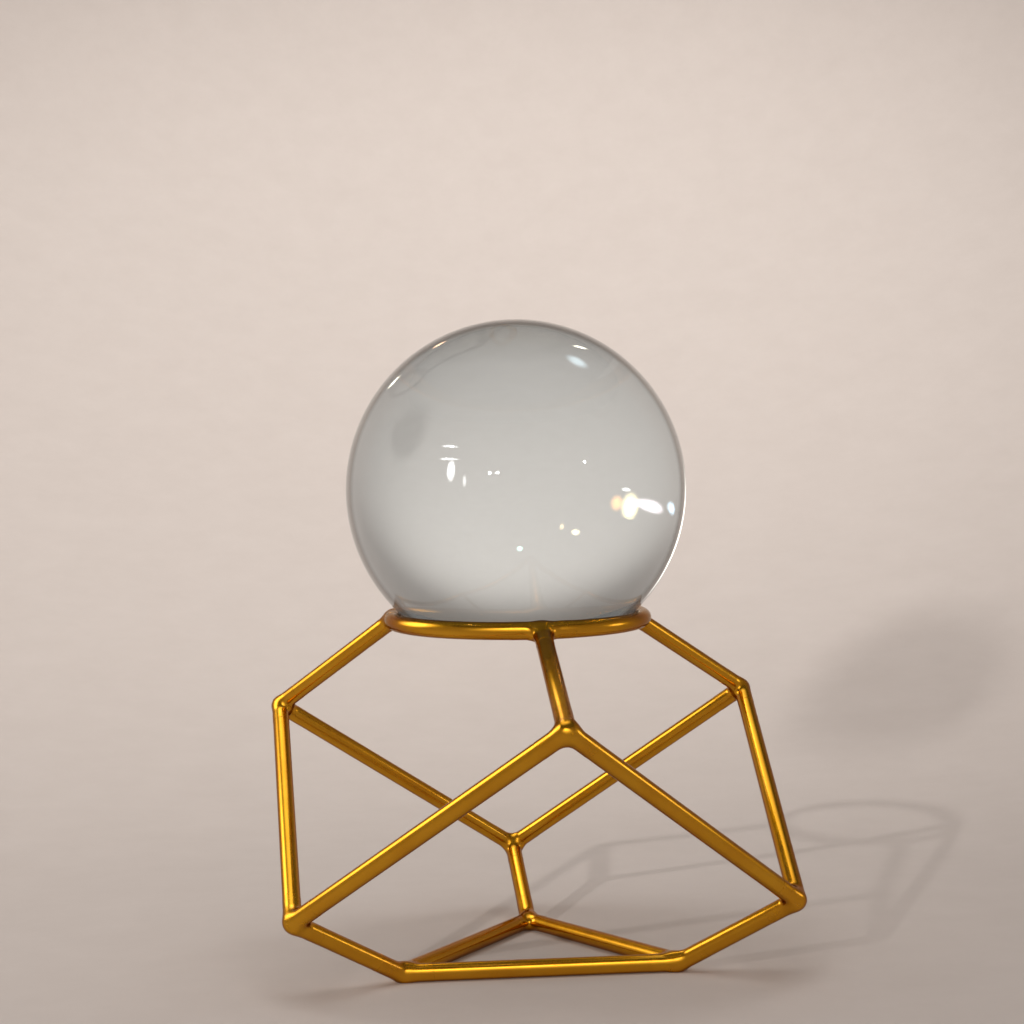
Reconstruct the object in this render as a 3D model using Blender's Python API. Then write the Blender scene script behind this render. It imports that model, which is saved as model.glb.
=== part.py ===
"""A clear glass crystal ball resting in a stand of bent and welded round wire."""

import math

import bmesh
import bpy
from mathutils import Matrix, Vector

MM = 0.001

# Wire
WIRE_RADIUS = 2.0 * MM
WIRE_SIDES = 12
BEND_RADIUS = 3.2 * MM
BEND_STEPS = 6
JOINT_GAP = 0.3 * MM

# Ball
BALL_RADIUS = 40.0 * MM
BALL_FLAT_RADIUS = 25.0 * MM
BALL_RINGS = 40
BALL_SECTORS = 72

# Support ring: it leans a little towards the front, so the ball shows above it
RING_RADIUS = 29.5 * MM
RING_CENTRE = Vector((-2.0, 1.4, 79.95)) * MM
RING_UP = Vector((0.017, -0.070, 1.0)).normalized()
RING_STEPS = 96

# Corners of the stand: three each at shoulder, knee and foot, a third of a turn apart
CORNERS = 3
SHOULDER_RADIUS = 68.2 * MM
SHOULDER_HEIGHT = 59.2 * MM
SHOULDER_AZIMUTH = math.radians(-84.3)
KNEE_RADIUS = 63.5 * MM
KNEE_HEIGHT = 17.1 * MM
KNEE_AZIMUTH = math.radians(-25.5)
FOOT_RADIUS = 36.1 * MM
FOOT_AZIMUTH = math.radians(-27.6)

# Where the three legs meet the ring, turning from the front: front, right, left
RING_JOINT_AZIMUTHS = [math.radians(angle) for angle in (-80.0, 26.0, 172.0)]
SIDES = ["front", "right", "left"]
KNEE_SIDES = ["right", "back", "left"]

# Weld fillet, in mm: (distance out along the butting wire, outer radius)
WELD_PROFILE = [(-1.3, 2.7), (-0.6, 3.2), (0.4, 3.5), (1.5, 3.5), (2.5, 3.25), (3.5, 2.9), (4.5, 2.65)]
WELD_SECTORS = 24
WELD_FLOOR_CLEARANCE = 0.2 * MM

MATERIALS = {}


def make_material(name, color, metallic, roughness, transmission, ior):
    """A Principled material, made once and kept in MATERIALS."""
    material = bpy.data.materials.new(name)
    material.use_nodes = True
    shader = material.node_tree.nodes["Principled BSDF"]
    shader.inputs["Base Color"].default_value = (*color, 1.0)
    shader.inputs["Metallic"].default_value = metallic
    shader.inputs["Roughness"].default_value = roughness
    shader.inputs["Transmission Weight"].default_value = transmission
    shader.inputs["IOR"].default_value = ior
    MATERIALS[name] = material


def clear_scene():
    """Removes every object there is."""
    for item in list(bpy.data.objects):
        bpy.data.objects.remove(item, do_unlink=True)


def add_object(name, mesh_builder, material, smooth_angle=math.radians(40)):
    """Turns a bmesh into a named object with smooth shading and one material."""
    bmesh.ops.recalc_face_normals(mesh_builder, faces=mesh_builder.faces)
    mesh = bpy.data.meshes.new(name)
    mesh_builder.to_mesh(mesh)
    mesh_builder.free()
    mesh.shade_smooth()
    mesh.set_sharp_from_angle(angle=smooth_angle)
    made = bpy.data.objects.new(name, mesh)
    bpy.context.scene.collection.objects.link(made)
    if material:
        mesh.materials.append(MATERIALS[material])
    return made


def polar(radius, azimuth, height):
    """The point at this radius and azimuth round the stand's upright axis."""
    return Vector((radius * math.cos(azimuth), radius * math.sin(azimuth), height))


def corner_points(radius, azimuth, height):
    """Three points a third of a turn apart."""
    turn = 2 * math.pi / CORNERS
    return [polar(radius, azimuth + turn * index, height) for index in range(CORNERS)]


def ring_axes():
    """Two unit directions across the ring: towards +X and towards +Y."""
    across = Vector((0, 1, 0)).cross(RING_UP).normalized()
    return across, RING_UP.cross(across)


def ring_point(azimuth):
    """The point on the ring's centre line at this azimuth round the ring."""
    across, along = ring_axes()
    return RING_CENTRE + RING_RADIUS * (math.cos(azimuth) * across + math.sin(azimuth) * along)


def round_corner(before, corner, after):
    """The points of the bend that replaces a corner between two straight runs."""
    towards_start = (before - corner).normalized()
    towards_end = (after - corner).normalized()
    half_angle = towards_start.angle(towards_end) / 2
    tangent_length = BEND_RADIUS / math.tan(half_angle)
    bisector = (towards_start + towards_end).normalized()
    centre = corner + bisector * (BEND_RADIUS / math.sin(half_angle))
    first = corner + towards_start * tangent_length - centre
    last = corner + towards_end * tangent_length - centre
    sweep_angle = first.angle(last)
    axis = first.cross(last).normalized()
    points = []
    for step in range(BEND_STEPS + 1):
        turned = Matrix.Rotation(sweep_angle * step / BEND_STEPS, 3, axis) @ first
        points.append(centre + turned)
    return points


def bend_middle(before, corner, after):
    """The point on the wire's centre line halfway round its bend."""
    return round_corner(before, corner, after)[BEND_STEPS // 2]


def bent_path(corners):
    """A path through these corners with every inner corner bent round."""
    path = [corners[0]]
    for before, corner, after in zip(corners, corners[1:], corners[2:]):
        path.extend(round_corner(before, corner, after))
    path.append(corners[-1])
    return path


def section_normals(path, closed):
    """The direction of the path at each of its points."""
    count = len(path)
    directions = []
    for index in range(count):
        before = path[(index - 1) % count] if closed or index > 0 else path[index]
        after = path[(index + 1) % count] if closed or index < count - 1 else path[index]
        directions.append((after - before).normalized())
    return directions


def swept_wire(path, radius, down, closed=False):
    """A bmesh tube of the given inner radius, one flat side facing down at its start."""
    half_step = math.pi / WIRE_SIDES
    corner_radius = radius / math.cos(half_step)
    directions = section_normals(path, closed)
    builder = bmesh.new()
    side = (down - directions[0] * down.dot(directions[0])).normalized()
    loops = []
    for index, (point, direction) in enumerate(zip(path, directions)):
        if index > 0:
            side = directions[index - 1].rotation_difference(direction) @ side
        cross = direction.cross(side)
        loop = []
        for corner in range(WIRE_SIDES):
            angle = half_step + 2 * half_step * corner
            offset = corner_radius * (math.cos(angle) * side + math.sin(angle) * cross)
            loop.append(builder.verts.new(point + offset))
        loops.append(loop)
    pairs = list(zip(loops, loops[1:]))
    if closed:
        pairs.append((loops[-1], loops[0]))
    for first, second in pairs:
        for corner in range(WIRE_SIDES):
            following = (corner + 1) % WIRE_SIDES
            builder.faces.new((first[corner], first[following], second[following], second[corner]))
    if not closed:
        builder.faces.new(loops[0])
        builder.faces.new(loops[-1])
    return builder


def add_cutter(name, builder):
    """A hidden object that only cuts others."""
    cutter = add_object(name, builder, None)
    cutter.hide_render = True
    cutter.display_type = "WIRE"
    return cutter


def cut(target, cutter):
    """Cuts one object from another with an exact Boolean."""
    modifier = target.modifiers.new("cut_" + cutter.name, "BOOLEAN")
    modifier.operation = "DIFFERENCE"
    modifier.solver = "EXACT"
    modifier.object = cutter


def weld_builder(joint, outwards):
    """A fillet collar round the end of a wire that butts against another at the joint."""
    turn = outwards.to_track_quat("Z", "Y").to_matrix().to_4x4()
    place = Matrix.Translation(joint) @ turn
    inner_radius = WIRE_RADIUS + JOINT_GAP
    profile = [(radius * MM, along * MM) for along, radius in WELD_PROFILE]
    profile.append((inner_radius, profile[-1][1]))
    profile.append((inner_radius, profile[0][1]))
    builder = bmesh.new()
    loops = []
    for sector in range(WELD_SECTORS):
        angle = 2 * math.pi * sector / WELD_SECTORS
        points = [Vector((r * math.cos(angle), r * math.sin(angle), along)) for r, along in profile]
        loops.append([builder.verts.new(place @ point) for point in points])
    for first, second in zip(loops, loops[1:] + loops[:1]):
        for index in range(len(profile)):
            following = (index + 1) % len(profile)
            builder.faces.new((first[index], first[following], second[following], second[index]))
    return builder


def add_weld(name, corner, through_point, wire_end, through_cutter):
    """One weld, on the wire that runs from the corner to wire_end, cut clear of the wire through the corner."""
    outwards = (wire_end - corner).normalized()
    joint = corner + outwards * (through_point - corner).dot(outwards)
    weld = add_object(name, weld_builder(joint, outwards), "gold_weld", math.radians(60))
    cut(weld, through_cutter)
    return weld


def add_floor_cutter():
    """A block below the floor, so that no weld stands lower than the base wires."""
    builder = bmesh.new()
    size = 4 * FOOT_RADIUS
    top = Matrix.Translation((0, 0, WELD_FLOOR_CLEARANCE - size / 2))
    bmesh.ops.create_cube(builder, size=size, matrix=top)
    return add_cutter("floor_cutter", builder)


def ball_builder():
    """A solid ball about its own centre, with a polished flat underneath."""
    flat_angle = math.asin(BALL_FLAT_RADIUS / BALL_RADIUS)
    lowest = math.pi - flat_angle
    builder = bmesh.new()
    top = builder.verts.new((0, 0, BALL_RADIUS))
    loops = []
    for ring in range(1, BALL_RINGS + 1):
        polar_angle = lowest * ring / BALL_RINGS
        radius = BALL_RADIUS * math.sin(polar_angle)
        height = BALL_RADIUS * math.cos(polar_angle)
        points = [polar(radius, 2 * math.pi * s / BALL_SECTORS, height) for s in range(BALL_SECTORS)]
        loops.append([builder.verts.new(point) for point in points])
    for sector in range(BALL_SECTORS):
        following = (sector + 1) % BALL_SECTORS
        builder.faces.new((top, loops[0][sector], loops[0][following]))
        for first, second in zip(loops, loops[1:]):
            builder.faces.new((first[sector], second[sector], second[following], first[following]))
    builder.faces.new(loops[-1])
    return builder


def ball_centre():
    """The centre of the ball when it rests in the ring."""
    reach = BALL_RADIUS + WIRE_RADIUS + JOINT_GAP
    return RING_CENTRE + RING_UP * math.sqrt(reach**2 - RING_RADIUS**2)


def add_ball():
    """The ball, with its origin at its own centre."""
    ball = add_object("glass_ball", ball_builder(), "clear_glass")
    ball.location = ball_centre()


def add_ring():
    """The closed ring that the ball rests in, and its cutter."""
    path = [ring_point(2 * math.pi * step / RING_STEPS) for step in range(RING_STEPS)]
    add_object("support_ring", swept_wire(path, WIRE_RADIUS, -RING_UP, closed=True), "gold_wire")
    cutter_builder = swept_wire(path, WIRE_RADIUS + JOINT_GAP, -RING_UP, closed=True)
    return add_cutter("ring_cutter", cutter_builder)


def add_legs(shoulders, knees, feet, ring_joints, ring_cutter):
    """Three bent legs. Each starts as one side of the base triangle and ends at the ring."""
    down = Vector((0, 0, -1))
    legs = []
    cutters = []
    for index, side in enumerate(SIDES):
        next_foot = feet[(index + 1) % CORNERS]
        corners = [next_foot, feet[index], knees[index], shoulders[index], ring_joints[index]]
        path = bent_path(corners)
        legs.append(add_object("leg_wire_" + side, swept_wire(path, WIRE_RADIUS, down), "gold_wire"))
        cutter = add_cutter("leg_cutter_" + side, swept_wire(path, WIRE_RADIUS + JOINT_GAP, down))
        cutters.append(cutter)
    for index, leg in enumerate(legs):
        cut(leg, ring_cutter)
        cut(leg, cutters[(index + 1) % CORNERS])
    return cutters


def add_braces(shoulders, knees, leg_cutters):
    """Three straight braces, each from a shoulder down to the knee of the leg beside it."""
    for index, side in enumerate(SIDES):
        knee = (index - 1) % CORNERS
        top, bottom = shoulders[index], knees[knee]
        run = (bottom - top).normalized()
        path = [top + run * WIRE_RADIUS, bottom - run * WIRE_RADIUS]
        builder = swept_wire(path, WIRE_RADIUS, Vector((0, 0, -1)))
        brace = add_object("brace_wire_" + side, builder, "gold_wire")
        cut(brace, leg_cutters[index])
        cut(brace, leg_cutters[knee])


def add_welds(shoulders, knees, feet, ring_joints, ring_cutter, leg_cutters):
    """Four welds to a leg: at the ring, at both ends of a brace, and in the base triangle."""
    floor_cutter = add_floor_cutter()
    for index, side in enumerate(SIDES):
        shoulder, ring_joint = shoulders[index], ring_joints[index]
        add_weld("weld_ring_" + side, ring_joint, ring_joint, shoulder, ring_cutter)

        lower = (index - 1) % CORNERS
        lower_knee = knees[lower]
        shoulder_bend = bend_middle(ring_joint, shoulder, knees[index])
        add_weld("weld_shoulder_" + side, shoulder, shoulder_bend, lower_knee, leg_cutters[index])

        knee_bend = bend_middle(shoulders[lower], lower_knee, feet[lower])
        add_weld("weld_knee_" + KNEE_SIDES[lower], lower_knee, knee_bend, shoulder, leg_cutters[lower])

        far = (index + 1) % CORNERS
        foot_bend = bend_middle(knees[far], feet[far], feet[(far + 1) % CORNERS])
        weld = add_weld("weld_foot_" + KNEE_SIDES[far], feet[far], foot_bend, feet[index], leg_cutters[far])
        cut(weld, floor_cutter)


def centre_over_origin():
    """Slides everything level so that the object's box is centred over the origin."""
    bpy.context.view_layer.update()
    graph = bpy.context.evaluated_depsgraph_get()
    points = []
    for item in bpy.data.objects:
        if item.hide_render:
            continue
        evaluated = item.evaluated_get(graph)
        points.extend(evaluated.matrix_world @ Vector(corner) for corner in evaluated.bound_box)
    middle_x = (min(p.x for p in points) + max(p.x for p in points)) / 2
    middle_y = (min(p.y for p in points) + max(p.y for p in points)) / 2
    for item in bpy.data.objects:
        item.location -= Vector((middle_x, middle_y, 0))


def main():
    clear_scene()
    make_material("gold_wire", (0.83, 0.60, 0.16), 1.0, 0.16, 0.0, 1.5)
    make_material("gold_weld", (0.80, 0.56, 0.14), 1.0, 0.24, 0.0, 1.5)
    make_material("clear_glass", (1.0, 1.0, 1.0), 0.0, 0.0, 1.0, 1.52)

    shoulders = corner_points(SHOULDER_RADIUS, SHOULDER_AZIMUTH, SHOULDER_HEIGHT)
    knees = corner_points(KNEE_RADIUS, KNEE_AZIMUTH, KNEE_HEIGHT)
    feet = corner_points(FOOT_RADIUS, FOOT_AZIMUTH, WIRE_RADIUS)
    ring_joints = [ring_point(azimuth) for azimuth in RING_JOINT_AZIMUTHS]

    add_ball()
    ring_cutter = add_ring()
    leg_cutters = add_legs(shoulders, knees, feet, ring_joints, ring_cutter)
    add_braces(shoulders, knees, leg_cutters)
    add_welds(shoulders, knees, feet, ring_joints, ring_cutter, leg_cutters)
    centre_over_origin()


main()
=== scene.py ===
"""The looks of the crystal ball: glass, gold wire with blended welds, floor, light and camera."""

import math

import bmesh
import bpy
import numpy as np
from mathutils import Matrix, Vector


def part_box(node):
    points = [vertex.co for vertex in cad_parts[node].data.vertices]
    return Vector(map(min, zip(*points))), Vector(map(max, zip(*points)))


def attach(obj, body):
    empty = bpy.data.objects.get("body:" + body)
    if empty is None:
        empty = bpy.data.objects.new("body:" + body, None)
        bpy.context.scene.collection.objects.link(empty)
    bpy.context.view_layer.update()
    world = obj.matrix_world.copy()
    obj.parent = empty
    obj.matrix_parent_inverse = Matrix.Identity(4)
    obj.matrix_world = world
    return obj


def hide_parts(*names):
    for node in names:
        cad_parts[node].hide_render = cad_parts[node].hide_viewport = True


MM = 0.001

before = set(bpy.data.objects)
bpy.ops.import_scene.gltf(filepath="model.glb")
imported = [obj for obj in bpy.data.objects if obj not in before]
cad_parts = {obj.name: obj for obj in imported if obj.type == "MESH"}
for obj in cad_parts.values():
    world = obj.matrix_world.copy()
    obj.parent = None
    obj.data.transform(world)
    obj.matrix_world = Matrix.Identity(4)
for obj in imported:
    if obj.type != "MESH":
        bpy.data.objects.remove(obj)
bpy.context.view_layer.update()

# ---------------------------------------------------------------- sizes, the same as the CAD's

WIRE_RADIUS = 2.0 * MM
BEND_RADIUS = 3.2 * MM
BALL_RADIUS = 40.0 * MM
BALL_FLAT_RADIUS = 25.0 * MM
RING_RADIUS = 29.5 * MM
RING_UP = Vector((0.017, -0.070, 1.0)).normalized()
BALL_REST_GAP = 0.3 * MM
SHOULDER = (68.2 * MM, math.radians(-84.3), 59.2 * MM)
KNEE = (63.5 * MM, math.radians(-25.5), 17.1 * MM)
FOOT = (36.1 * MM, math.radians(-27.6), WIRE_RADIUS)
RING_JOINT_AZIMUTHS = [math.radians(angle) for angle in (-80.0, 26.0, 172.0)]
SIDES = ["front", "right", "left"]
KNEE_SIDES = ["right", "back", "left"]

ball_low, ball_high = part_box("glass_ball")
ball_middle = (Vector(ball_low) + Vector(ball_high)) / 2
BALL_CENTRE = Vector((ball_middle.x, ball_middle.y, ball_high[2] - BALL_RADIUS))
seat_height = math.sqrt((BALL_RADIUS + WIRE_RADIUS + BALL_REST_GAP) ** 2 - RING_RADIUS**2)
RING_CENTRE = BALL_CENTRE - RING_UP * seat_height
STAND_AXIS = RING_CENTRE - Vector((-2.0, 1.4, 79.95)) * MM


# ---------------------------------------------------------------- wire paths

def corner_points(radius, azimuth, height):
    """Three points a third of a turn apart round the stand's upright axis."""
    points = []
    for index in range(3):
        angle = azimuth + 2 * math.pi * index / 3
        points.append(STAND_AXIS + Vector((radius * math.cos(angle), radius * math.sin(angle), height)))
    return points


def ring_point(azimuth):
    """The point on the ring's centre line at this azimuth."""
    across = Vector((0, 1, 0)).cross(RING_UP).normalized()
    along = RING_UP.cross(across)
    return RING_CENTRE + RING_RADIUS * (math.cos(azimuth) * across + math.sin(azimuth) * along)


def round_corner(before, corner, after, steps=14):
    """The points of the bend that replaces a corner between two straight runs."""
    towards_start = (before - corner).normalized()
    towards_end = (after - corner).normalized()
    half_angle = towards_start.angle(towards_end) / 2
    tangent_length = BEND_RADIUS / math.tan(half_angle)
    centre = corner + (towards_start + towards_end).normalized() * (BEND_RADIUS / math.sin(half_angle))
    first = corner + towards_start * tangent_length - centre
    last = corner + towards_end * tangent_length - centre
    axis = first.cross(last).normalized()
    sweep_angle = first.angle(last)
    return [centre + Matrix.Rotation(sweep_angle * s / steps, 3, axis) @ first for s in range(steps + 1)]


def bent_path(corners):
    """A path through these corners with every inner corner bent round."""
    path = [corners[0]]
    for before, corner, after in zip(corners, corners[1:], corners[2:]):
        path.extend(round_corner(before, corner, after))
    path.append(corners[-1])
    return path


shoulders = corner_points(*SHOULDER)
knees = corner_points(*KNEE)
feet = corner_points(*FOOT)
ring_joints = [ring_point(azimuth) for azimuth in RING_JOINT_AZIMUTHS]
leg_paths = []
for index in range(3):
    next_foot = feet[(index + 1) % 3]
    leg_paths.append(bent_path([next_foot, feet[index], knees[index], shoulders[index], ring_joints[index]]))


# ---------------------------------------------------------------- mesh helpers

def add_mesh(name, builder, material):
    """Turns a bmesh into a smooth-shaded object with one material."""
    bmesh.ops.recalc_face_normals(builder, faces=builder.faces)
    mesh = bpy.data.meshes.new(name)
    builder.to_mesh(mesh)
    builder.free()
    mesh.shade_smooth()
    mesh.set_sharp_from_angle(angle=math.radians(50))
    mesh.materials.append(material)
    made = bpy.data.objects.new(name, mesh)
    bpy.context.scene.collection.objects.link(made)
    return made


def tube_builder(path, radius, sides=32, closed=False, builder=None):
    """A bmesh tube of round section along a path, with its ends filled."""
    builder = builder or bmesh.new()
    count = len(path)
    directions = []
    for index in range(count):
        before = path[(index - 1) % count] if closed or index else path[0]
        after = path[(index + 1) % count] if closed or index < count - 1 else path[-1]
        directions.append((after - before).normalized())
    side = directions[0].orthogonal().normalized()
    loops = []
    for index, (point, direction) in enumerate(zip(path, directions)):
        if index:
            side = directions[index - 1].rotation_difference(direction) @ side
        cross = direction.cross(side)
        loop = []
        for corner in range(sides):
            angle = 2 * math.pi * corner / sides
            outwards = math.cos(angle) * side + math.sin(angle) * cross
            loop.append(builder.verts.new(point + radius * outwards))
        loops.append(loop)
    pairs = list(zip(loops, loops[1:]))
    if closed:
        pairs.append((loops[-1], loops[0]))
    for first, second in pairs:
        for corner in range(sides):
            following = (corner + 1) % sides
            builder.faces.new((first[corner], first[following], second[following], second[corner]))
    if not closed:
        builder.faces.new(loops[0])
        builder.faces.new(loops[-1])
    return builder


def turned_builder(centre, tip_height, profile, sectors):
    """A bmesh turned about an upright axis: a tip, then one loop for each (radius, height)."""
    builder = bmesh.new()
    tip = builder.verts.new(centre + Vector((0, 0, tip_height)))
    loops = []
    for radius, height in profile:
        loop = []
        for sector in range(sectors):
            angle = 2 * math.pi * sector / sectors
            offset = Vector((radius * math.cos(angle), radius * math.sin(angle), height))
            loop.append(builder.verts.new(centre + offset))
        loops.append(loop)
    for sector in range(sectors):
        following = (sector + 1) % sectors
        builder.faces.new((tip, loops[0][sector], loops[0][following]))
        for first, second in zip(loops, loops[1:]):
            builder.faces.new((first[sector], second[sector], second[following], first[following]))
    return builder, loops


# ---------------------------------------------------------------- materials

def new_material(name):
    """A fresh node material: its node tree, its Principled shader and itself."""
    material = bpy.data.materials.new(name)
    material.use_nodes = True
    tree = material.node_tree
    return material, tree, tree.nodes["Principled BSDF"]


def add_noise(tree, scale, detail, roughness=0.55):
    """Noise in the object's own coordinates."""
    coordinates = tree.nodes.new("ShaderNodeTexCoord")
    noise = tree.nodes.new("ShaderNodeTexNoise")
    noise.inputs["Scale"].default_value = scale
    noise.inputs["Detail"].default_value = detail
    noise.inputs["Roughness"].default_value = roughness
    tree.links.new(coordinates.outputs["Object"], noise.inputs["Vector"])
    return noise


def add_ramp(tree, source, stops):
    """A colour ramp over a node's output. Stops are (position, colour)."""
    ramp = tree.nodes.new("ShaderNodeValToRGB")
    ramp.color_ramp.elements[0].position, ramp.color_ramp.elements[0].color = stops[0]
    ramp.color_ramp.elements[1].position, ramp.color_ramp.elements[1].color = stops[-1]
    for position, color in stops[1:-1]:
        element = ramp.color_ramp.elements.new(position)
        element.color = color
    tree.links.new(source, ramp.inputs["Fac"])
    return ramp.outputs["Color"]


def add_bump(tree, height, strength, distance):
    """A bump node over a height."""
    bump = tree.nodes.new("ShaderNodeBump")
    bump.inputs["Strength"].default_value = strength
    bump.inputs["Distance"].default_value = distance
    tree.links.new(height, bump.inputs["Height"])
    return bump.outputs["Normal"]


def add_facing(tree):
    """How far the surface turns away: 0 face on, 1 at the outline."""
    facing = tree.nodes.new("ShaderNodeLayerWeight")
    facing.inputs["Blend"].default_value = 0.5
    return facing.outputs["Facing"]


def add_product(tree, first, second):
    """Two colours multiplied."""
    product = tree.nodes.new("ShaderNodeMix")
    product.data_type = "RGBA"
    product.blend_type = "MULTIPLY"
    product.inputs["Factor"].default_value = 1.0
    inputs = [socket for socket in product.inputs if socket.type == "RGBA"]
    tree.links.new(first, inputs[0])
    tree.links.new(second, inputs[1])
    return [socket for socket in product.outputs if socket.type == "RGBA"][0]


UNCHANGED = (1, 1, 1, 1)

# The gold's colours: its brightest patches, the deeper patches of wires and of welds, and its outline
GOLD_PALE = (0.72, 0.36, 0.014)
GOLD_DEEP = (0.64, 0.29, 0.008)
GOLD_DEEP_WELD = (0.62, 0.27, 0.007)
GOLD_EDGE_SHADE = (0.42, 0.34, 0.26, 1)
GOLD_EDGE_TINT = (0.60, 0.42, 0.20, 1)


def gold(name, roughness_low, roughness_high, pale, deep, bump_strength):
    """Gold plating: patchy colour, patchy polish, a faint unevenness and a darker outline."""
    material, tree, shader = new_material(name)
    low = (roughness_low,) * 3 + (1,)
    high = (roughness_high,) * 3 + (1,)
    shader.inputs["Metallic"].default_value = 1.0
    shader.inputs["Coat Weight"].default_value = 0.30
    shader.inputs["Coat Roughness"].default_value = 0.08
    shader.inputs["Specular Tint"].default_value = GOLD_EDGE_TINT
    patches = add_noise(tree, 90.0, 4.0)
    color = add_ramp(tree, patches.outputs["Fac"], [(0.3, (*deep, 1)), (0.7, (*pale, 1))])
    shade = add_ramp(tree, add_facing(tree), [(0.35, UNCHANGED), (0.85, GOLD_EDGE_SHADE)])
    tree.links.new(add_product(tree, color, shade), shader.inputs["Base Color"])
    polish = add_noise(tree, 420.0, 6.0)
    roughness = add_ramp(tree, polish.outputs["Fac"], [(0.3, low), (0.72, high)])
    tree.links.new(roughness, shader.inputs["Roughness"])
    waves = add_noise(tree, 260.0, 5.0)
    tree.links.new(add_bump(tree, waves.outputs["Fac"], bump_strength, 0.3 * MM), shader.inputs["Normal"])
    return material


# The glass's tints: most of it, painted light inside the rim, painted shade at the rim, and grey painted
# shade near the top
GLASS_CLEAR = (0.82, 0.91, 0.94, 1)
GLASS_PAINTED_RIM_LIGHT = (0.86, 0.93, 0.95, 1)
GLASS_PAINTED_RIM_SHADE = (0.16, 0.15, 0.13, 1)
GLASS_PAINTED_TOP_SHADE = (0.62, 0.60, 0.57, 1)
GLASS_PAINTED_CROWN_SHADE = (0.58, 0.56, 0.53, 1)

# A faint glow that real glass hasn't: it keeps the darkest reflections in the ball from going black
GLASS_GLOW = (0.92, 0.97, 1.0, 1)
GLASS_GLOW_STRENGTH = 0.022


def glass(name):
    """Clear optical glass, a touch cool, with painted shade at a dark rim and a greyer crown, painted light
    just inside the rim, and faint handling marks.
    """
    material, tree, shader = new_material(name)
    shader.inputs["Transmission Weight"].default_value = 1.0
    shader.inputs["IOR"].default_value = 1.52
    shader.inputs["Emission Color"].default_value = GLASS_GLOW
    shader.inputs["Emission Strength"].default_value = GLASS_GLOW_STRENGTH
    # Painted shade: the tint turns dark at the rim, with painted light in a paler zone just inside it.
    painted_rim_stops = [(0.0, GLASS_CLEAR), (0.45, GLASS_CLEAR), (0.62, GLASS_PAINTED_RIM_LIGHT)]
    painted_rim_stops += [(0.70, GLASS_CLEAR), (0.77, GLASS_PAINTED_RIM_SHADE), (1.0, GLASS_PAINTED_RIM_SHADE)]
    rim = add_ramp(tree, add_facing(tree), painted_rim_stops)
    place = tree.nodes.new("ShaderNodeTexCoord")
    height = tree.nodes.new("ShaderNodeSeparateXYZ")
    tree.links.new(place.outputs["Object"], height.inputs["Vector"])
    from_middle = tree.nodes.new("ShaderNodeMapRange")
    from_middle.inputs["From Min"].default_value = BALL_CENTRE.z
    from_middle.inputs["From Max"].default_value = BALL_CENTRE.z + BALL_RADIUS
    tree.links.new(height.outputs["Z"], from_middle.inputs["Value"])
    # Painted shade: the tint greys towards the top of the ball.
    painted_top_shade_stops = [(0.66, UNCHANGED), (0.90, GLASS_PAINTED_TOP_SHADE), (1.0, GLASS_PAINTED_CROWN_SHADE)]
    top_shade = add_ramp(tree, from_middle.outputs["Result"], painted_top_shade_stops)
    tree.links.new(add_product(tree, rim, top_shade), shader.inputs["Base Color"])
    marks = add_noise(tree, 120.0, 8.0, 0.7)
    polish = add_ramp(tree, marks.outputs["Fac"], [(0.55, (0, 0, 0, 1)), (0.8, (0.02, 0.02, 0.02, 1))])
    tree.links.new(polish, shader.inputs["Roughness"])
    return material


PAPER_LIGHT = (0.685, 0.618, 0.575, 1)
PAPER_DARK = (0.655, 0.588, 0.545, 1)


def paper(name):
    """Warm pale backdrop paper with a fine fibrous mottle."""
    material, tree, shader = new_material(name)
    shader.inputs["Specular IOR Level"].default_value = 0.15
    mottle = add_noise(tree, 38.0, 10.0, 0.7)
    color = add_ramp(tree, mottle.outputs["Fac"], [(0.3, PAPER_DARK), (0.7, PAPER_LIGHT)])
    tree.links.new(color, shader.inputs["Base Color"])
    shader.inputs["Roughness"].default_value = 0.9
    fibre = add_noise(tree, 900.0, 4.0)
    tree.links.new(add_bump(tree, fibre.outputs["Fac"], 0.15, 0.2 * MM), shader.inputs["Normal"])
    return material


GOLD_WIRE = gold("gold_plated_wire", 0.17, 0.27, GOLD_PALE, GOLD_DEEP, 0.06)
GOLD_WELD = gold("gold_plated_weld", 0.17, 0.30, GOLD_PALE, GOLD_DEEP_WELD, 0.12)
CLEAR_GLASS = glass("clear_crystal_glass")
PAPER = paper("backdrop_paper")

# Groups that a light can be limited to
GOLD_PIECES = bpy.data.collections.new("gold_pieces")
GLASS_PIECES = bpy.data.collections.new("glass_pieces")


# ---------------------------------------------------------------- wires

END_TRIM = 2.2 * MM
RING_STEPS = 180


def add_wire(name, path, closed=False):
    """A smooth round wire that stands for the CAD node of the same name."""
    wire = add_mesh(name + "_finished", tube_builder(path, WIRE_RADIUS, closed=closed), GOLD_WIRE)
    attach(wire, "stand")
    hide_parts(name)
    GOLD_PIECES.objects.link(wire)


def cut_back(path, trim):
    """The path with both its ends cut back, so that they stay inside their welds."""
    start = path[0] + (path[1] - path[0]).normalized() * trim
    end = path[-1] + (path[-2] - path[-1]).normalized() * trim
    return [start, *path[1:-1], end]


def add_wires():
    """The ring, three bent legs and three braces."""
    ring_path = [ring_point(2 * math.pi * step / RING_STEPS) for step in range(RING_STEPS)]
    add_wire("support_ring", ring_path, closed=True)
    for index, side in enumerate(SIDES):
        add_wire("leg_wire_" + side, cut_back(leg_paths[index], END_TRIM))
        add_wire("brace_wire_" + side, cut_back([shoulders[index], knees[(index - 1) % 3]], END_TRIM))


# ---------------------------------------------------------------- welds

STUB_LENGTH = 7.5 * MM  # how far a weld reaches along each wire
BUTT_SETBACK = 1.3 * MM  # where the butting wire starts, from the middle of the wire that it meets
BLEND = 2.4 * MM  # how wide the fillet between the two wires is
SKIN = 0.03 * MM  # how far a weld stands proud of the wires
VOXEL = 0.3 * MM
PATH_STEP = 0.3 * MM
SLOPE_STEP = 0.02 * MM
ROUGH_SWELL = 1.05
RING_WELD_REACH = 25  # degrees of the ring each side of its weld


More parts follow.
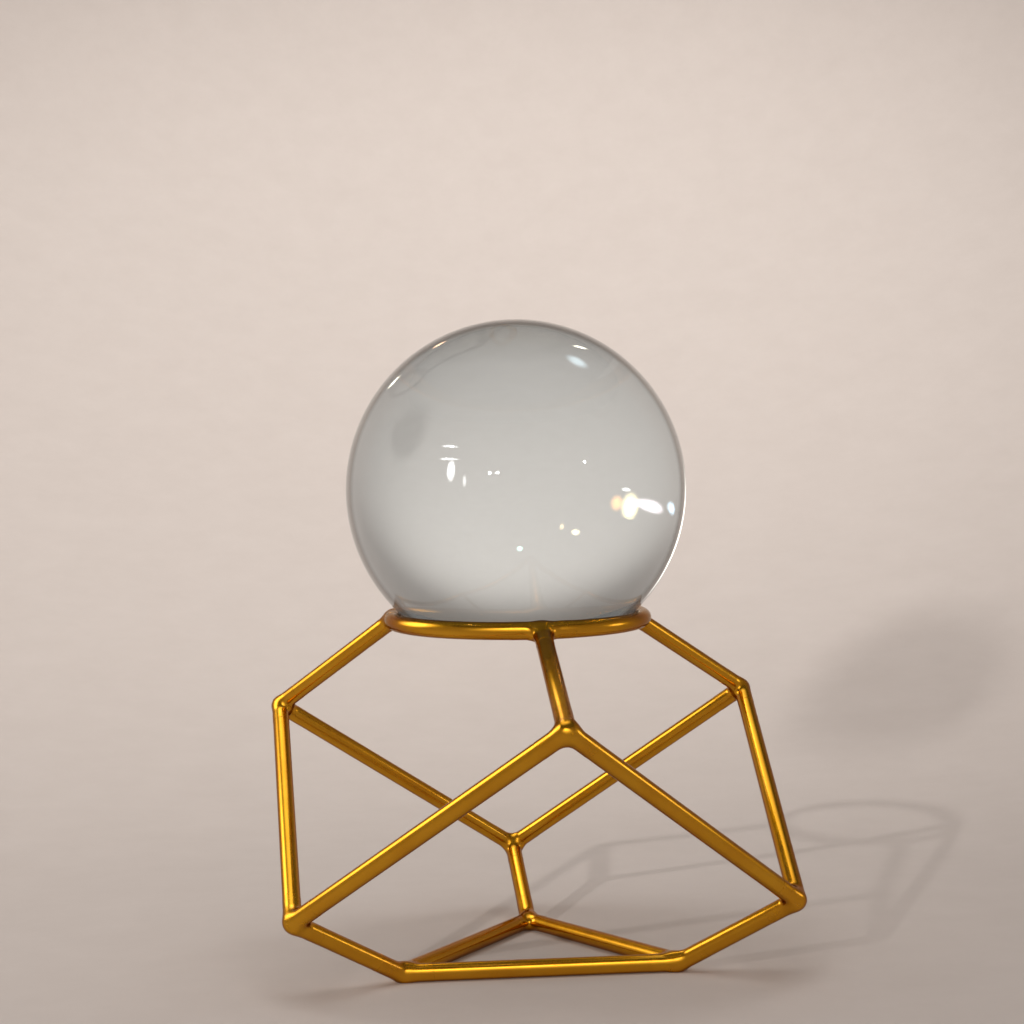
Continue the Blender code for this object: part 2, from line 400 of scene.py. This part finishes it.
def near_joint(path, joint):
    """The run of a path that lies near the joint, as closely spaced points."""
    dense = []
    for first, second in zip(path, path[1:]):
        steps = max(1, int((second - first).length / PATH_STEP))
        dense.extend(first.lerp(second, step / steps) for step in range(steps))
    dense.append(path[-1])
    return [point for point in dense if (point - joint).length < STUB_LENGTH]


def distance_to_path(points, path):
    """Distance of each point from a run of path points joined by straight lines."""
    best = np.full(len(points), 1e9)
    for first, second in zip(path[:-1], path[1:]):
        run = second - first
        share = np.clip(((points - first) @ run) / (run @ run), 0, 1)
        best = np.minimum(best, np.linalg.norm(points - first - share[:, None] * run, axis=1))
    return best


def clear_of(through_run, butting_run, joint):
    """Both runs, the butting one only from where it comes clear of the through wire's middle."""
    through = np.array([tuple(point) for point in through_run])
    butting = np.array([tuple(point) for point in butting_run])
    if np.linalg.norm(butting[0] - joint) > np.linalg.norm(butting[-1] - joint):
        butting = butting[::-1]
    gaps = distance_to_path(butting, through)
    start = int(gaps.argmin())
    while gaps[start] < BUTT_SETBACK:
        start += 1
    return through, butting[start:]


def smooth_union(first, second, blend):
    """The smaller of two distances, blended where they're close."""
    share = np.clip(0.5 + 0.5 * (second - first) / blend, 0, 1)
    return second * (1 - share) + first * share - blend * share * (1 - share)


def joint_field(points, paths):
    """Signed distance to the blended wires of one joint."""
    field = distance_to_path(points, paths[0]) - WIRE_RADIUS
    for path in paths[1:]:
        field = smooth_union(field, distance_to_path(points, path) - WIRE_RADIUS, BLEND)
    return field - SKIN


def settle_on_field(points, paths, rounds=4):
    """Moves points onto the surface of the blended wires."""
    for _ in range(rounds):
        value = joint_field(points, paths)
        slopes = []
        for axis in range(3):
            shift = np.zeros(3)
            shift[axis] = SLOPE_STEP
            rise = joint_field(points + shift, paths) - joint_field(points - shift, paths)
            slopes.append(rise / (2 * SLOPE_STEP))
        slope = np.stack(slopes, 1)
        steepness = np.maximum((slope**2).sum(1), 0.05)
        points = points - slope * (value / steepness)[:, None]
    return points


def add_weld(node, joint, through_path, butting_path):
    """One blended joint: a wire that runs through, one that butts against it and a fillet between them."""
    runs = [near_joint(path, joint) for path in (through_path, butting_path)]
    builder = bmesh.new()
    for run in runs:
        tube_builder(run, WIRE_RADIUS * ROUGH_SWELL, sides=16, builder=builder)
    rough = add_mesh(node + "_rough", builder, GOLD_WELD)
    remesh = rough.modifiers.new("remesh", "REMESH")
    remesh.mode = "VOXEL"
    remesh.voxel_size = VOXEL
    evaluated = rough.evaluated_get(bpy.context.evaluated_depsgraph_get())
    mesh = bpy.data.meshes.new_from_object(evaluated)
    bpy.data.objects.remove(rough)
    points = np.empty(len(mesh.vertices) * 3)
    mesh.vertices.foreach_get("co", points)
    points = settle_on_field(points.reshape(-1, 3), clear_of(*runs, joint))
    points[:, 2] = np.maximum(points[:, 2], 0)
    mesh.vertices.foreach_set("co", points.ravel())
    mesh.shade_smooth()
    weld = bpy.data.objects.new(node + "_finished", mesh)
    bpy.context.scene.collection.objects.link(weld)
    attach(weld, "stand")
    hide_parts(node)
    GOLD_PIECES.objects.link(weld)


def add_welds():
    """Four joints for each leg: at the ring, at its shoulder, at a knee and at a foot."""
    for index, side in enumerate(SIDES):
        lower = (index - 1) % 3
        far = (index + 1) % 3
        brace = [shoulders[index], knees[lower]]
        turns = range(-RING_WELD_REACH, RING_WELD_REACH + 1)
        around = [ring_point(RING_JOINT_AZIMUTHS[index] + math.radians(turn)) for turn in turns]
        add_weld("weld_ring_" + side, ring_joints[index], around, leg_paths[index])
        add_weld("weld_shoulder_" + side, shoulders[index], leg_paths[index], brace)
        add_weld("weld_knee_" + KNEE_SIDES[lower], knees[lower], leg_paths[lower], brace)
        add_weld("weld_foot_" + KNEE_SIDES[far], feet[far], leg_paths[far], leg_paths[index])


# ---------------------------------------------------------------- ball

FLAT_EDGE = 0.6 * MM  # how wide the soft edge of the flat is
BALL_RINGS = 160
BALL_SECTORS = 256


def add_ball():
    """A polished solid glass ball with a flat, softly edged underside."""
    flat_height = -math.sqrt(BALL_RADIUS**2 - BALL_FLAT_RADIUS**2)
    last_angle = math.pi - math.asin((BALL_FLAT_RADIUS + FLAT_EDGE) / BALL_RADIUS)
    profile = []
    for ring in range(1, BALL_RINGS + 1):
        angle = last_angle * ring / BALL_RINGS
        profile.append((BALL_RADIUS * math.sin(angle), BALL_RADIUS * math.cos(angle)))
    profile.append((BALL_FLAT_RADIUS - 0.4 * FLAT_EDGE, flat_height))
    profile.append((BALL_FLAT_RADIUS - 2 * FLAT_EDGE, flat_height))
    builder, loops = turned_builder(BALL_CENTRE, BALL_RADIUS, profile, BALL_SECTORS)
    builder.faces.new(loops[-1])
    ball = add_mesh("glass_ball_polished", builder, CLEAR_GLASS)
    ball.data.set_sharp_from_angle(angle=math.radians(20))
    GLASS_PIECES.objects.link(ball)
    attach(ball, "ball")
    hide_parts("glass_ball")


# ---------------------------------------------------------------- floor and backdrop

# The paper's rise away from the stand: (distance, height) in metres
BACKDROP_PROFILE = [
    (0.15, 0.0),
    (0.19, 0.0),
    (0.24, 0.003),
    (0.30, 0.011),
    (0.36, 0.023),
    (0.42, 0.038),
    (0.5, 0.063),
    (0.62, 0.112),
    (0.76, 0.19),
    (0.9, 0.3),
    (1.02, 0.44),
    (1.1, 0.62),
    (1.14, 0.85),
    (1.14, 1.1),
]
BACKDROP_SECTORS = 96
BACKDROP_DROP = 0.05 * MM  # keeps the paper just below the feet


def add_backdrop():
    """One sheet of pale paper: flat under the stand, then curving up all round."""
    builder, _ = turned_builder(Vector((0, 0, 0)), 0, BACKDROP_PROFILE, BACKDROP_SECTORS)
    backdrop = add_mesh("backdrop", builder, PAPER)
    smooth = backdrop.modifiers.new("smooth", "SUBSURF")
    smooth.levels = smooth.render_levels = 2
    backdrop.location.z = -BACKDROP_DROP


# ---------------------------------------------------------------- light

TARGET = Vector((0, 0, 0.08))

# Two distant key lights, each placed so that its own shadow falls where the photo shows it.
# Each throws only the shadow of its own group: its share of the light, and its lamp's radius in metres.
WIRE_KEY_DIRECTION = Vector((-0.54, -0.84, 0.36))
BALL_KEY_DIRECTION = Vector((-0.41, -0.86, 0.18))
WIRE_KEY_SHARE, WIRE_KEY_RADIUS = 0.46, 0.055
BALL_KEY_SHARE, BALL_KEY_RADIUS = 0.54, 0.20
KEY_AIM = Vector((-0.24, 0.55, 0.16))
KEY_DISTANCE = 5.0
KEY_CONE = 17.0
KEY_POWER = 1190.0
KEY_COLOR = (1.0, 0.975, 0.95)

FILL_PLACE = (0, -0.1, 1.1)
FILL_SIZE = (1.0, 1.0)
FILL_RADIANCE = 1.65
FILL_COLOR = (1.0, 0.985, 0.975)
GOLD_LIGHT_COLOR = (1.0, 0.96, 0.86)
ROOM_COLOR = (1.0, 0.95, 0.90, 1)
ROOM_STRENGTH = 0.12

# Soft lamps that only the gold mirrors: place, target, size, brightness.
# The last stands for the light that the ball gathers on the front strut.
GOLD_LIGHTS = [
    ((-0.44, 0.10, 0.31), TARGET, (0.46, 0.46), 3.4),
    ((0.0, -0.43, 0.30), TARGET, (0.60, 0.24), 2.4),
    ((0.0, -0.37, 0.19), TARGET, (0.90, 0.36), 0.65),
    ((-0.05, 0.15, 0.70), TARGET, (0.90, 0.90), 1.2),
    ((-0.18, 0.32, 0.56), TARGET, (0.44, 0.44), 2.4),
    ((0.42, 0.0, 0.13), TARGET, (0.16, 0.16), 2.4),
    ((-0.002, -0.044, 0.086), (0.006, -0.052, 0.070), (0.014, 0.020), 2.2),
]

GLINT_DISTANCE = 0.30
FLOOR_SHARE = 0.7  # how much of the way down to the floor a glint's lamp may stand

# Each glint: across and up in ball radii, half width and half height in ball radii, colour, brightness
WHITE = (1.0, 1.0, 1.0)
GLINTS = [
    (-0.348, 0.244, 0.065, 0.009, WHITE, 26.0),
    (-0.355, 0.176, 0.080, 0.008, WHITE, 22.0),
    (-0.346, 0.112, 0.032, 0.072, WHITE, 30.0),
    (-0.275, 0.055, 0.016, 0.045, WHITE, 9.0),
    (-0.137, 0.093, 0.015, 0.013, WHITE, 40.0),
    (-0.096, 0.093, 0.015, 0.013, WHITE, 40.0),
    (0.374, 0.137, 0.014, 0.013, WHITE, 40.0),
    (0.545, -0.090, 0.060, 0.050, (1.0, 0.50, 0.12), 14.0),
    (0.620, -0.112, 0.085, 0.080, (1.0, 0.90, 0.50), 26.0),
    (0.730, -0.110, 0.190, 0.032, (1.0, 0.92, 0.98), 16.0),
    (0.870, -0.130, 0.080, 0.022, (0.60, 0.82, 1.0), 7.0),
    (0.600, -0.018, 0.045, 0.012, WHITE, 18.0),
    (0.011, -0.317, 0.026, 0.024, (0.60, 1.0, 0.90), 18.0),
    (0.314, -0.239, 0.038, 0.024, (1.0, 0.86, 0.55), 24.0),
    (0.240, -0.205, 0.020, 0.026, (1.0, 0.80, 0.45), 12.0),
    (0.385, 0.790, 0.012, 0.040, (1.0, 0.98, 0.80), 14.0),
    (0.360, 0.700, 0.060, 0.055, (0.72, 0.92, 1.0), 5.0),
    (-0.412, 0.838, 0.022, 0.020, (1.0, 0.60, 0.35), 7.0),
    (-0.674, 0.633, 0.018, 0.030, (1.0, 0.95, 0.75), 9.0),
    (0.950, -0.230, 0.040, 0.100, (1.0, 0.99, 0.90), 1.5),
    (0.905, -0.380, 0.040, 0.110, (1.0, 0.99, 0.92), 2.2),
]

def aim(light, location, target):
    """Puts a light at a place and points it at a target."""
    light.location = location
    light.rotation_euler = (Vector(target) - Vector(location)).to_track_quat("-Z", "Y").to_euler()
    light.visible_camera = False
    bpy.context.scene.collection.objects.link(light)


def fade_edges(data):
    """Makes a lamp brightest in its middle and dark at its rim, like a lamp behind cloth."""
    data.use_nodes = True
    tree = data.node_tree
    emission = tree.nodes["Emission"]
    geometry = tree.nodes.new("ShaderNodeNewGeometry")
    from_middle = tree.nodes.new("ShaderNodeVectorMath")
    from_middle.operation = "DISTANCE"
    from_middle.inputs[1].default_value = (0.5, 0.5, 0.0)
    tree.links.new(geometry.outputs["Parametric"], from_middle.inputs[0])
    fade = tree.nodes.new("ShaderNodeMapRange")
    fade.interpolation_type = "SMOOTHSTEP"
    fade.inputs["From Min"].default_value = 0.1
    fade.inputs["From Max"].default_value = 0.5
    fade.inputs["To Min"].default_value = 1.0
    fade.inputs["To Max"].default_value = 0.0
    tree.links.new(from_middle.outputs["Value"], fade.inputs["Value"])
    tree.links.new(fade.outputs["Result"], emission.inputs["Strength"])


def add_area_light(name, location, target, size, radiance, color, only=None, soft=False):
    """A light of the given brightness, aimed at a point, lighting only one group if told to."""
    data = bpy.data.lights.new(name, "AREA")
    data.shape = "ELLIPSE" if soft else "RECTANGLE"
    if soft:
        fade_edges(data)
    data.size, data.size_y = size
    data.energy = radiance * math.pi * size[0] * size[1]
    data.color = color
    light = bpy.data.objects.new(name, data)
    aim(light, location, target)
    if only:
        light.light_linking.receiver_collection = only
    return light


def add_key(name, direction, share, radius, blockers):
    """A distant key light that throws one group's shadow and doesn't show in polished surfaces."""
    data = bpy.data.lights.new(name, "SPOT")
    data.energy = KEY_POWER * share
    data.shadow_soft_size = radius
    data.spot_size = math.radians(KEY_CONE)
    data.spot_blend = 1.0
    data.color = KEY_COLOR
    light = bpy.data.objects.new(name, data)
    aim(light, TARGET + KEY_DISTANCE * direction.normalized(), TARGET + KEY_AIM)
    light.visible_glossy = False
    light.visible_transmission = False
    light.light_linking.blocker_collection = blockers


def add_fill():
    """A broad overhead fill for the paper and the shadows, kept out of polished surfaces."""
    fill = add_area_light("fill", FILL_PLACE, (0, 0, 0), FILL_SIZE, FILL_RADIANCE, FILL_COLOR)
    fill.visible_glossy = False
    fill.visible_transmission = False


def add_glints():
    """Small lamps that only the ball's polished front mirrors, each placed by where its glint sits."""
    eye = bpy.context.scene.camera.matrix_world.translation
    to_camera = (eye - BALL_CENTRE).normalized()
    across = Vector((0, 0, 1)).cross(to_camera).normalized()
    upwards = to_camera.cross(across)
    for number, (right, up, width, height, color, radiance) in enumerate(GLINTS):
        outwards = math.sqrt(1 - right**2 - up**2)
        normal = right * across + up * upwards + outwards * to_camera
        surface = BALL_CENTRE + BALL_RADIUS * normal
        to_eye = (eye - surface).normalized()
        mirrored = 2 * normal.dot(to_eye) * normal - to_eye
        reach = GLINT_DISTANCE
        if mirrored.z < 0:
            reach = min(reach, FLOOR_SHARE * surface.z / -mirrored.z)
        size = (4 * width * reach, 4 * height * reach)
        place = surface + mirrored * reach
        name = "glint_%02d" % number
        lamp = add_area_light(name, place, surface, size, radiance, color, GLASS_PIECES, soft=True)
        lamp.visible_transmission = False


def add_lights():
    """The keys, the fill, soft lights that the gold mirrors, the ball's glints and a dim room."""
    add_key("key_on_wire", WIRE_KEY_DIRECTION, WIRE_KEY_SHARE, WIRE_KEY_RADIUS, GOLD_PIECES)
    add_key("key_on_ball", BALL_KEY_DIRECTION, BALL_KEY_SHARE, BALL_KEY_RADIUS, GLASS_PIECES)
    add_fill()
    for number, (place, target, size, radiance) in enumerate(GOLD_LIGHTS):
        name = "gold_soft_%d" % number
        add_area_light(name, place, target, size, radiance, GOLD_LIGHT_COLOR, GOLD_PIECES, soft=True)
    add_glints()
    world = bpy.data.worlds.new("room")
    world.use_nodes = True
    background = world.node_tree.nodes["Background"]
    background.inputs["Color"].default_value = ROOM_COLOR
    background.inputs["Strength"].default_value = ROOM_STRENGTH
    bpy.context.scene.world = world


# ---------------------------------------------------------------- camera

CAMERA_SENSOR = 36.0
CAMERA_LENS = 62.4375
CAMERA_PLACE = Vector((-3.9, -419.3, 92.0)) * MM  # from the foot of the stand's axis
CAMERA_YAW = math.radians(0.18)
CAMERA_PITCH = math.radians(1.77)
CAMERA_ROLL = math.radians(-1.75)


def add_camera():
    """The camera: just above the height of the ring, looking slightly up, held slightly tilted."""
    data = bpy.data.cameras.new("camera")
    data.sensor_width = CAMERA_SENSOR
    data.lens = CAMERA_LENS
    camera = bpy.data.objects.new("camera", data)
    bpy.context.scene.collection.objects.link(camera)
    level = math.cos(CAMERA_PITCH)
    forward = Vector((level * math.sin(CAMERA_YAW), level * math.cos(CAMERA_YAW), math.sin(CAMERA_PITCH)))
    level_right = forward.cross(Vector((0, 0, 1))).normalized()
    level_up = level_right.cross(forward)
    right = math.cos(CAMERA_ROLL) * level_right + math.sin(CAMERA_ROLL) * level_up
    up = -math.sin(CAMERA_ROLL) * level_right + math.cos(CAMERA_ROLL) * level_up
    turn = Matrix((right, up, -forward)).transposed()
    camera.matrix_world = Matrix.Translation(STAND_AXIS + CAMERA_PLACE) @ turn.to_4x4()
    bpy.context.scene.camera = camera


add_camera()
add_wires()
add_welds()
add_ball()
add_backdrop()
add_lights()
bpy.context.scene.view_settings.view_transform = "Standard"
